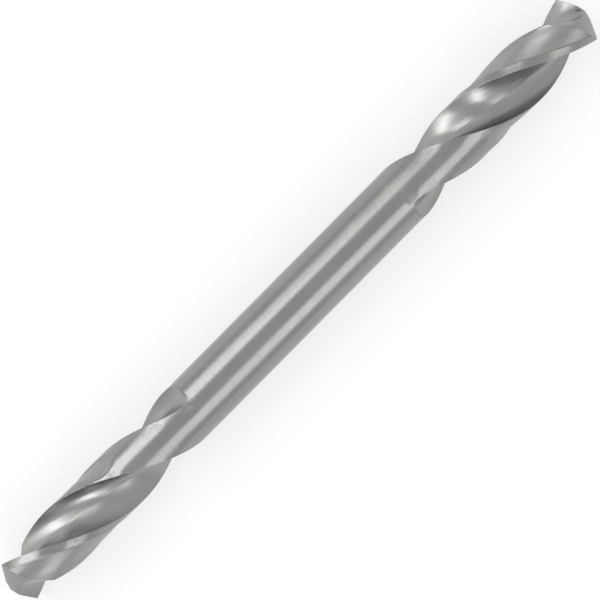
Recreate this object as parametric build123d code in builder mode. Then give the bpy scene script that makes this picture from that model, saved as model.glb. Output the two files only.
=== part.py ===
from build123d import *
import os
from math import asin, atan2, cos, degrees, pi, radians, sin, sqrt, tan

# Double-ended drill bit, ground from one hardened steel rod. Both ends are
# right-hand cutting with a right-hand spiral, and the plain middle is the shank.
# X is the drill axis and the middle of the length is the origin.
# Lengths are in millimetres and angles in degrees.

# Rod, with the diameter lost per millimetre back from each point and the
# length ground away to form a point
drill_diameter = 4.2
overall_length = 55.0
back_taper = 0.0005
point_stock = 0.5

# Flutes: the web is measured at the point and thickens by its growth per
# millimetre, and the retreat's lean turns the way in which the wheel backs out
# of the rod
helix_angle = 28.7
flute_length = 13.6
run_out_length = 4.1
flute_opening = 105.0
web_thickness = 0.8
web_growth = 0.052
retreat_lean = 12.0

# Land: the margin keeps the full diameter, and behind its step the clearance is
# an arc that comes back to full diameter at the heel
margin_width = 0.62
step_lean = 45.0
step_depth = 0.09
clearance_depth = 0.11
clearance_middle = 0.65
clearance_setback = 2.0
clearance_fade = 1.6

# Point
point_angle = 135.0
lip_relief = 5.0
flank_radius = 3.4

# Gash ahead of each lip, which splits the web
chisel_length = 0.3
inner_lip_turn = 38.0
gash_slope = 40.0
gash_opening = 115.0

# Direction of each end's first lip, turned from Y towards Z
right_lip_turn = 145.0
left_lip_turn = 48.9

# Reach of the grinding wheels past the rod, and of a fading one at its end
wheel_reach = 0.6
fade_reach = 0.02

# Steps along the axis and along the cutting face
flute_steps = 9
run_out_steps = 6
clearance_steps = 7
fade_steps = 3
face_steps = 3

drill_radius = drill_diameter / 2
half_length = overall_length / 2
web_radius = web_thickness / 2
twist = 360 * tan(radians(helix_angle)) / (pi * drill_diameter)
lip_slope = radians(90 - point_angle / 2)
fluted_length = flute_length + run_out_length
clearance_length = flute_length - clearance_setback - clearance_fade
stock_radius = drill_radius + back_taper / 2 * point_stock
shank_radius = drill_radius - back_taper / 2 * fluted_length
outside = drill_radius + wheel_reach
start_height = point_stock + wheel_reach
block_size = 2 * drill_diameter

# The flank behind a lip is part of a cylinder that lies along it. The lip line
# stands above the point by what the flank falls over half the web.
flank_centre = Vector(-sin(radians(lip_relief)), -cos(radians(lip_relief))) * flank_radius
flank_fall = -flank_centre.Y - sqrt(flank_radius**2 - (web_radius - flank_centre.X) ** 2)
lip_rise = flank_fall / cos(lip_slope)
lip_reach = sqrt(drill_radius**2 - web_radius**2)


def polar(radius, angle):
    """Point at a radius and an angle."""
    return Vector(radius * cos(radians(angle)), radius * sin(radians(angle)))


def angle_of(point):
    """Angle of a point about the drill axis."""
    return degrees(atan2(point.Y, point.X))


def face_point(reach):
    """Point of the cutting face that the spiral carries to the straight lip at a reach."""
    lip_height = lip_rise - reach * tan(lip_slope)
    lip_angle = degrees(atan2(web_radius, reach))
    return polar(sqrt(reach**2 + web_radius**2), lip_angle - twist * lip_height)


# The flute's section, drawn where the point is
face_points = [face_point(lip_reach * step / face_steps) for step in range(face_steps + 2)]
face_exit = face_points[-1] - face_points[-2]
flute_bottom = face_points[0]
bottom_angle = angle_of(flute_bottom)
corner_angle = angle_of(face_point(lip_reach))
heel_corner = polar(drill_radius, corner_angle + flute_opening)
flute_outside = polar(outside, corner_angle + flute_opening / 2)
retreat_angle = bottom_angle - retreat_lean


def section_plane(height, retreat=0.0):
    """Plane across the drill at a height from the point, turned with the spiral.

    Its origin leaves the axis by how far the grinding wheel has backed out.
    """
    turn = twist * height
    origin = polar(retreat, turn + retreat_angle) + Vector(0, 0, height)
    return Plane(origin=origin, x_dir=polar(1, turn))


def web_retreat(height):
    """How far the growing web has pushed the wheel out at a height from the point."""
    return -height * web_growth / 2


def leading_angle(height):
    """Angle of the land's leading edge at a height from the point."""
    shift = web_retreat(height) * sin(radians(retreat_angle - corner_angle))
    return corner_angle + degrees(asin(shift / drill_radius))


def end_plane(side, lip_turn):
    """Plane at a point of the drill that looks out of it, with the first lip along X."""
    lip_direction = (0, cos(radians(lip_turn)), sin(radians(lip_turn)))
    return Plane(origin=(side * half_length, 0, 0), x_dir=lip_direction, z_dir=(side, 0, 0))


# Heights of the flute's sections with the wheel's retreat at each: it follows
# the web up to the run-out, and then a quarter of an ellipse out of the rod
flute_end = web_retreat(-flute_length)
run_out_end = drill_radius + fade_reach - flute_bottom.length
flute_path = []
for step in range(flute_steps):
    height = start_height - (flute_length + start_height) * step / flute_steps
    flute_path.append((height, web_retreat(height)))
for step in range(run_out_steps + 1):
    swing = pi / 2 * step / run_out_steps
    retreat = run_out_end - (run_out_end - flute_end) * cos(swing)
    flute_path.append((-flute_length - run_out_length * sin(swing), retreat))

# Heights of the clearance's sections with how far the wheel has lifted at each
clearance_path = []
for step in range(clearance_steps):
    height = start_height - (clearance_length + start_height) * step / clearance_steps
    clearance_path.append((height, 0))
for step in range(fade_steps + 1):
    share = step / fade_steps
    height = -clearance_length - clearance_fade * share
    clearance_path.append((height, (clearance_depth + fade_reach) * share))

# Flute: the cutting face on one side of its bottom and the heel on the other
with BuildPart() as flute_cutter:
    for height, retreat in flute_path:
        with BuildSketch(section_plane(height, retreat)):
            with BuildLine():
                face = Spline(face_points, tangents=(polar(1, bottom_angle - 90), face_exit))
                heel = TangentArc(flute_bottom, heel_corner, tangent=polar(1, bottom_angle + 90))
                heel_exit = Line(heel @ 1, heel @ 1 + (heel % 1) * wheel_reach)
                ThreePointArc(heel_exit @ 1, flute_outside, face @ 1)
            make_face()
    loft()

# Clearance: the step behind the margin and the floor from its foot to the heel
margin_angle = degrees(margin_width / cos(radians(helix_angle)) / drill_radius)
middle_angle = degrees(clearance_middle / drill_radius)
with BuildPart() as clearance_cutter:
    for height, lift in clearance_path:
        step_angle = leading_angle(height) - margin_angle
        heel_angle = leading_angle(height) + flute_opening - 180
        step_foot = polar(drill_radius - step_depth + lift, step_angle)
        floor_middle = polar(drill_radius - clearance_depth + lift, step_angle - middle_angle)
        with BuildSketch(section_plane(height)):
            with BuildLine():
                floor = ThreePointArc(step_foot, floor_middle, polar(drill_radius + lift, heel_angle))
                floor_exit = Line(floor @ 1, floor @ 1 + (floor % 1) * wheel_reach)
                step_wall = Line(floor @ 0, floor @ 0 + polar(wheel_reach, step_angle + step_lean))
                ThreePointArc(floor_exit @ 1, polar(outside, step_angle - middle_angle), step_wall @ 1)
            make_face()
    loft()

# Everything above the flank: the profile is drawn across the lip line, with the
# lip at its origin and the flank falling away behind it
lip_line = Vector(cos(lip_slope), 0, -sin(lip_slope))
lip_plane = Plane(origin=(0, web_radius, lip_rise), x_dir=(0, -1, 0), z_dir=-lip_line)
with BuildPart() as flank_cutter:
    with BuildSketch(lip_plane):
        with BuildLine():
            ahead = Line(polar(-block_size, -lip_relief), (0, 0))
            flank = JernArc((0, 0), polar(1, -lip_relief), flank_radius, lip_relief - 90)
            Polyline(
                flank @ 1,
                (block_size, (flank @ 1).Y),
                (block_size, block_size),
                (-block_size, block_size),
                ahead @ 0,
            )
        make_face()
    extrude(amount=block_size, both=True)

# Gash: a notch with one wall along the axis, which carries the inner lip, and
# one that falls back over the heel ahead
inner_lip = polar(1, inner_lip_turn)
notch_line = inner_lip * sin(radians(gash_slope)) - Vector(0, 0, cos(radians(gash_slope)))
wall_line = inner_lip * cos(radians(gash_slope)) + Vector(0, 0, sin(radians(gash_slope)))
gash_plane = Plane(origin=inner_lip * (chisel_length / 2), x_dir=wall_line, z_dir=-notch_line)
with BuildPart() as gash_cutter:
    with BuildSketch(gash_plane):
        with BuildLine():
            Polyline((0, 0), (block_size, 0), polar(block_size, gash_opening), close=True)
        make_face()
    extrude(amount=block_size, both=True)

# The rod, with both flutes, clearances, flanks and gashes ground at each end
with BuildPart() as drill_bit:
    Cylinder(shank_radius, overall_length - 2 * fluted_length, rotation=(0, 90, 0))
    with Locations(end_plane(1, right_lip_turn), end_plane(-1, left_lip_turn)):
        with Locations((0, 0, -fluted_length)):
            Cone(
                shank_radius,
                stock_radius,
                fluted_length + point_stock,
                align=(Align.CENTER, Align.CENTER, Align.MIN),
            )
        with PolarLocations(0, 2):
            add(flute_cutter.part, mode=Mode.SUBTRACT)
            add(clearance_cutter.part, mode=Mode.SUBTRACT)
            add(flank_cutter.part, mode=Mode.SUBTRACT)
            add(gash_cutter.part, mode=Mode.SUBTRACT)

drill_bit.part.label = "drill_bit"
os.makedirs("parts", exist_ok=True)
export_step(drill_bit.part, "parts/drill_bit.step")
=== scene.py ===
from math import cos, pi, radians, sin, tan

import bpy
from mathutils import Matrix, Vector


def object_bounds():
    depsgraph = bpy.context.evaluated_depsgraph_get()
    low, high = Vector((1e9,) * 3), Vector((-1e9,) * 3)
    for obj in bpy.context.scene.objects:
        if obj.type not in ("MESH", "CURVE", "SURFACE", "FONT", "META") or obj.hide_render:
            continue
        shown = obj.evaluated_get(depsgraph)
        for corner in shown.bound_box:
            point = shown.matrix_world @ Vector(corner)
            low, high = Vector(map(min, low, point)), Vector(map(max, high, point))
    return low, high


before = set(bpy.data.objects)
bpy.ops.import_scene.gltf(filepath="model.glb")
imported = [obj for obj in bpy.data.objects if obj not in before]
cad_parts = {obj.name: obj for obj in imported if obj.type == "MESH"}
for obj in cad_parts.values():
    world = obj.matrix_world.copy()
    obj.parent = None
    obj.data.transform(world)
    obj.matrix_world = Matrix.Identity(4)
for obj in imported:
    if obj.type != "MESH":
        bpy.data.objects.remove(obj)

cad_low, cad_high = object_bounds()

# Camera. It stands far above the bit and looks straight down on it, so the bit
# keeps its true outline. The bit runs up to the right in the picture, with its
# middle a little off the picture's own.
PICTURE_SIDE = 600
PIXELS_PER_METRE = 14818
BIT_SLANT = 45.256
BIT_MIDDLE = (298.1, 300.4)
CAMERA_HEIGHT = 0.7
SENSOR_WIDTH = 36.0
NEAREST_SEEN = 0.01
FARTHEST_SEEN = 20.0

camera_data = bpy.data.cameras.new("camera")
camera_data.sensor_width = SENSOR_WIDTH
camera_data.lens = SENSOR_WIDTH * CAMERA_HEIGHT * PIXELS_PER_METRE / PICTURE_SIDE
camera_data.clip_start = NEAREST_SEEN
camera_data.clip_end = FARTHEST_SEEN
camera = bpy.data.objects.new("camera", camera_data)
bpy.context.scene.collection.objects.link(camera)
camera_turn = Matrix.Rotation(radians(-BIT_SLANT), 4, "Z")
picture_offset = Vector((
    (PICTURE_SIDE / 2 - BIT_MIDDLE[0]) / PIXELS_PER_METRE,
    (BIT_MIDDLE[1] - PICTURE_SIDE / 2) / PIXELS_PER_METRE,
    CAMERA_HEIGHT,
))
camera.matrix_world = camera_turn @ Matrix.Translation(picture_offset)
bpy.context.scene.camera = camera

# Drill bit. One rod of high speed steel, ground bright all over: round the
# shank and the margins, along the spiral in the flutes and across the flanks of
# the points. The wheels leave fine lines, and handling leaves faint marks.
MILLIMETRES = 1000.0
HELIX_ANGLE = 28.7
POINT_SLOPE = 22.5

# Where each change over the surface begins and ends: millimetres inside the full
# radius for the first two, millimetres below the cone of a point for the third,
# then levels of noise, and last how far an edge's normal turns
ROUND_FADE = (0.04, 0.02)
RIM_FADE = (0.1, 0.06)
FLANK_FADE = (0.9, 0.2)
SCUFF_FADE = (0.66, 0.74)
SPECK_FADE = (0.76, 0.82)
WARM_FADE = (0.5, 0.7)
EDGE_FADE = (0.02, 0.2)

# Marks a millimetre, along, across and up, or on a flank outwards and along
ROUND_GRAIN = (9.0, 0.5, 0.5)
SPIRAL_GRAIN = (0.22, 6.5, 6.5)
FLANK_GRAIN = (8.0, 0.6, 0.0)
CLOUD_GRAIN = (0.35, 0.6, 0.6)
SCUFF_GRAIN = (0.5, 7.0, 7.0)
SPECK_GRAIN = (4.0, 4.0, 4.0)

STEEL = (0.3, 0.3, 0.298, 1)
WARM_STEEL = (0.308, 0.305, 0.292, 1)
LINE_CONTRAST = 0.16
CLOUD_CONTRAST = 0.2
# painted light: how much brighter the flutes are made, to lift the dark reflections inside them
FLUTE_PAINTED_LIGHT = 0.12
# painted shade: how much darker the flanks are made, to dim their reflection of the white sheet
FLANK_PAINTED_SHADE = 0.04
RIM_DARKNESS = 0.06
SPECK_DARKNESS = 0.35
EDGE_BRIGHTNESS = 0.25

ROD_ROUGHNESS = 0.24
FLUTE_DULLNESS = 0.06
FLANK_DULLNESS = 0.06
RIM_DULLNESS = 0.14
LINE_DULLNESS = 0.14
CLOUD_DULLNESS = 0.1
SCUFF_DULLNESS = 0.06
EDGE_DULLNESS = 0.06

# In metres, with the share of that depth that the lines round the rod lack
LINE_DEPTH = 0.000006
ROUND_FINENESS = 0.68
EDGE_RADIUS = 0.00004


class Number:
    """A number that varies over a surface: Python arithmetic on it adds Math nodes."""

    def __init__(self, finish, socket):
        self.finish = finish
        self.socket = socket

    def math(self, operation, first, second=0.0):
        """Math on one or two numbers."""
        settings = {"operation": operation}
        return self.finish.number("ShaderNodeMath", settings, {0: first, 1: second})

    def __add__(self, other):
        return self.math("ADD", self, other)

    def __sub__(self, other):
        return self.math("SUBTRACT", self, other)

    def __mul__(self, other):
        return self.math("MULTIPLY", self, other)

    def __pow__(self, other):
        return self.math("POWER", self, other)

    def __abs__(self):
        return self.math("ABSOLUTE", self)

    def __radd__(self, other):
        return self.math("ADD", other, self)

    def __rsub__(self, other):
        return self.math("SUBTRACT", other, self)

    def __rmul__(self, other):
        return self.math("MULTIPLY", other, self)

    def fade(self, begin, end):
        """An S curve from 0 where the number is begin to 1 where it is end."""
        settings = {"interpolation_type": "SMOOTHSTEP"}
        return self.finish.number("ShaderNodeMapRange", settings, {0: self, 1: begin, 2: end})


class Finish:
    """A material, whose nodes all come from one method."""

    def __init__(self, name):
        self.material = bpy.data.materials.new(name)
        self.material.use_nodes = True
        self.tree = self.material.node_tree
        self.tree.nodes.clear()

    def node(self, kind, settings, sockets):
        """Add a node, with its settings first and then a value or a link for each socket."""
        made = self.tree.nodes.new(kind)
        for name, setting in settings.items():
            setattr(made, name, setting)
        for name, given in sockets.items():
            if isinstance(given, Number):
                self.tree.links.new(given.socket, made.inputs[name])
            elif isinstance(given, bpy.types.NodeSocket):
                self.tree.links.new(given, made.inputs[name])
            else:
                made.inputs[name].default_value = given
        return made

    def number(self, kind, settings, sockets, output=0):
        """Add a node and take one of its outputs as a number."""
        return Number(self, self.node(kind, settings, sockets).outputs[output])

    def vector(self, operation, first, second):
        """Vector Math on two vectors."""
        settings = {"operation": operation}
        return self.node("ShaderNodeVectorMath", settings, {0: first, 1: second}).outputs[0]

    def blend(self, mask, first, second):
        """Mix of two colours: the first where the mask is 0, the second where it is 1."""
        sockets = {0: mask, 6: first, 7: second}
        return self.node("ShaderNodeMix", {"data_type": "RGBA"}, sockets).outputs[2]

    def grain(self, place, scale, detail=3.0, rough=0.6):
        """Noise from 0 to 1 in a place that is stretched by a scale along each axis."""
        stretched = self.vector("MULTIPLY", place, scale)
        sockets = {"Vector": stretched, "Scale": 1.0, "Detail": detail, "Roughness": rough}
        return self.number("ShaderNodeTexNoise", {}, sockets)


steel = Finish("ground_steel")
object_place = steel.node("ShaderNodeTexCoord", {}, {}).outputs["Object"]
place = steel.vector("MULTIPLY", object_place, (MILLIMETRES,) * 3)
axes = steel.node("ShaderNodeSeparateXYZ", {}, {0: place})
along, across, up = (Number(steel, axes.outputs[axis]) for axis in "XYZ")
radius = (across * across + up * up) ** 0.5
half_length = cad_high.x * MILLIMETRES
full_radius = cad_high.z * MILLIMETRES

# where each wheel has worked: at the full radius, close below the cone of a
# point, and in all that is left, whose rim is the step behind each margin and
# what comes near the full radius at the heels
inside = full_radius - radius
below_point = half_length - abs(along) - radius * tan(radians(POINT_SLOPE))
round_ground = inside.fade(*ROUND_FADE)
flank_ground = below_point.fade(*FLANK_FADE) * (1 - round_ground)
spiral_ground = (1 - round_ground) * (1 - flank_ground)
rim = inside.fade(*RIM_FADE) * (1 - round_ground)

# the lines that each leaves: rings, spirals that run straight where the bit's
# turn is unwound, and curves across the flanks
spiral_turn = tan(radians(HELIX_ANGLE)) / full_radius
unwound = steel.node(
    "ShaderNodeVectorRotate",
    {"rotation_type": "X_AXIS"},
    {"Vector": place, "Angle": along * -spiral_turn},
).outputs[0]
reach = steel.node("ShaderNodeCombineXYZ", {}, {0: radius, 1: along, 2: 0.0}).outputs[0]
round_lines = steel.grain(place, ROUND_GRAIN)
spiral_lines = steel.grain(unwound, SPIRAL_GRAIN)
flank_lines = steel.grain(reach, FLANK_GRAIN)
lines = round_lines * round_ground + spiral_lines * spiral_ground + flank_lines * flank_ground

# clouding, scuffs and specks all over, and edges that have been handled
clouding = steel.grain(place, CLOUD_GRAIN)
scuffs = steel.grain(place, SCUFF_GRAIN, 2.0, 0.5).fade(*SCUFF_FADE)
specks = steel.grain(place, SPECK_GRAIN, 1.0, 0.5).fade(*SPECK_FADE)
rounded = steel.node("ShaderNodeBevel", {"samples": 6}, {"Radius": EDGE_RADIUS}).outputs[0]
true_normal = steel.node("ShaderNodeNewGeometry", {}, {}).outputs["Normal"]
agreement = steel.number(
    "ShaderNodeVectorMath", {"operation": "DOT_PRODUCT"}, {0: rounded, 1: true_normal}, "Value"
)
edges = (1 - agreement).fade(*EDGE_FADE)
line_swing = lines - 0.5
cloud_swing = clouding - 0.5

# colour: the flutes are painted brighter than the rod, painted light that lifts the dark
# reflections of their walls in each other, and have twice the contrast in their lines;
# the flanks are painted darker, painted shade that dims their reflection of the white
# sheet; the rims are darker, and worn edges are brightest
shade = 1 + line_swing * (1 + spiral_ground) * LINE_CONTRAST + cloud_swing * CLOUD_CONTRAST
shade = shade + spiral_ground * FLUTE_PAINTED_LIGHT
shade = shade - flank_ground * FLANK_PAINTED_SHADE - rim * RIM_DARKNESS
shade = shade * (1 - specks * SPECK_DARKNESS) + edges * EDGE_BRIGHTNESS
tinted = steel.blend(clouding.fade(*WARM_FADE), STEEL, WARM_STEEL)
shade_colour = steel.node("ShaderNodeCombineXYZ", {}, {0: shade, 1: shade, 2: shade}).outputs[0]
colour = steel.vector("MULTIPLY", tinted, shade_colour)

# gloss: the rod is ground the smoothest, and all marks vary it a little
roughness = ROD_ROUGHNESS + spiral_ground * FLUTE_DULLNESS
roughness = roughness + flank_ground * FLANK_DULLNESS + rim * RIM_DULLNESS
roughness = roughness + line_swing * LINE_DULLNESS + cloud_swing * CLOUD_DULLNESS
roughness = roughness + scuffs * SCUFF_DULLNESS + edges * EDGE_DULLNESS

# relief: the grinding lines, on edges that handling has rounded
relief = lines * (1 - round_ground * ROUND_FINENESS)
bump = steel.node(
    "ShaderNodeBump",
    {},
    {"Strength": 1.0, "Distance": LINE_DEPTH, "Height": relief, "Normal": rounded},
).outputs[0]
surface = steel.node(
    "ShaderNodeBsdfPrincipled",
    {},
    {"Base Color": colour, "Metallic": 1.0, "Roughness": roughness, "Normal": bump},
).outputs[0]
steel.node("ShaderNodeOutputMaterial", {}, {"Surface": surface})

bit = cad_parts["drill_bit"]
bit.material_slots[0].material = steel.material

# Table. A wide plain sheet that the bit lies on. The camera and the steel see it
# white, with part of the bit's soft shadow.
TABLE_SIDE = 4.0
TABLE_COLOUR = (0.8, 0.8, 0.8, 1)
SEEN_TABLE_COLOUR = (1.0, 1.0, 1.0, 1)
WHITE_SHARE = 0.62

half_side = TABLE_SIDE / 2
corners = [
    (-half_side, -half_side),
    (half_side, -half_side),
    (half_side, half_side),
    (-half_side, half_side),
]
table_mesh = bpy.data.meshes.new("table")
table_mesh.from_pydata([(x, y, cad_low.z) for x, y in corners], [], [(0, 1, 2, 3)])
table = bpy.data.objects.new("table", table_mesh)
bpy.context.scene.collection.objects.link(table)

sheet = Finish("white_sheet")
rays = sheet.node("ShaderNodeLightPath", {}, {}).outputs
seen = Number(sheet, rays["Is Camera Ray"]) + Number(sheet, rays["Is Glossy Ray"])
seen = seen + Number(sheet, rays["Is Transmission Ray"])
sheet_colour = sheet.blend(seen, TABLE_COLOUR, SEEN_TABLE_COLOUR)
matt = sheet.node("ShaderNodeBsdfDiffuse", {}, {"Color": sheet_colour}).outputs[0]
white = sheet.node(
    "ShaderNodeEmission", {}, {"Color": SEEN_TABLE_COLOUR, "Strength": 1.0}
).outputs[0]
sheet_surface = sheet.node(
    "ShaderNodeMixShader", {}, {0: seen * WHITE_SHARE, 1: matt, 2: white}
).outputs[0]
sheet.node("ShaderNodeOutputMaterial", {}, {"Surface": sheet_surface})
table_mesh.materials.append(sheet.material)

# Room and lamps. A pale room with two soft strip lamps across the middle of the
# bit, which draw the bands along the rod, and two towards its lower left end,
# which light the flutes.
ROOM_LIGHT = 0.78
LAMP_DISTANCE = 0.6

world = bpy.data.worlds.new("room")
world.use_nodes = True
room = world.node_tree.nodes["Background"]
room.inputs["Color"].default_value = (1, 1, 1, 1)
room.inputs["Strength"].default_value = ROOM_LIGHT
bpy.context.scene.world = world


def soft_box(name, roll, tilt, turn, length, width, radiance):
    """Area lamp that faces the bit.

    Its direction is straight up, tilted along the bit and then rolled about the
    bit's axis from Z towards Y. It is turned about that direction, and the
    length and width are what it spans at a distance of one.
    """
    roll, tilt, turn = radians(roll), radians(tilt), radians(turn)
    outwards = Vector((sin(tilt), cos(tilt) * sin(roll), cos(tilt) * cos(roll)))
    sideways = outwards.cross(Vector((1, 0, 0))).normalized()
    lengthways = sideways.cross(outwards)
    long_side = cos(turn) * lengthways + sin(turn) * sideways
    short_side = outwards.cross(long_side)
    lamp_data = bpy.data.lights.new(name, "AREA")
    lamp_data.shape = "RECTANGLE"
    lamp_data.size = length * LAMP_DISTANCE
    lamp_data.size_y = width * LAMP_DISTANCE
    lamp_data.energy = radiance * pi * lamp_data.size * lamp_data.size_y
    lamp = bpy.data.objects.new(name, lamp_data)
    bpy.context.scene.collection.objects.link(lamp)
    turned = Matrix((long_side, short_side, outwards)).transposed().to_4x4()
    lamp.matrix_world = Matrix.Translation(outwards * LAMP_DISTANCE) @ turned


soft_box("left_rod_strip", roll=43.0, tilt=-4.0, turn=6.0, length=0.11, width=0.72, radiance=3.7)
soft_box("front_rod_strip", roll=-45.0, tilt=0.0, turn=2.0, length=0.1, width=0.6, radiance=2.5)
soft_box("left_flute_strip", roll=50.0, tilt=-31.0, turn=60.0, length=1.0, width=0.16, radiance=5.2)
soft_box("front_flute_strip", roll=-50.0, tilt=-32.5, turn=68.0, length=0.75, width=0.16, radiance=5.0)

bpy.context.scene.view_settings.view_transform = "Standard"
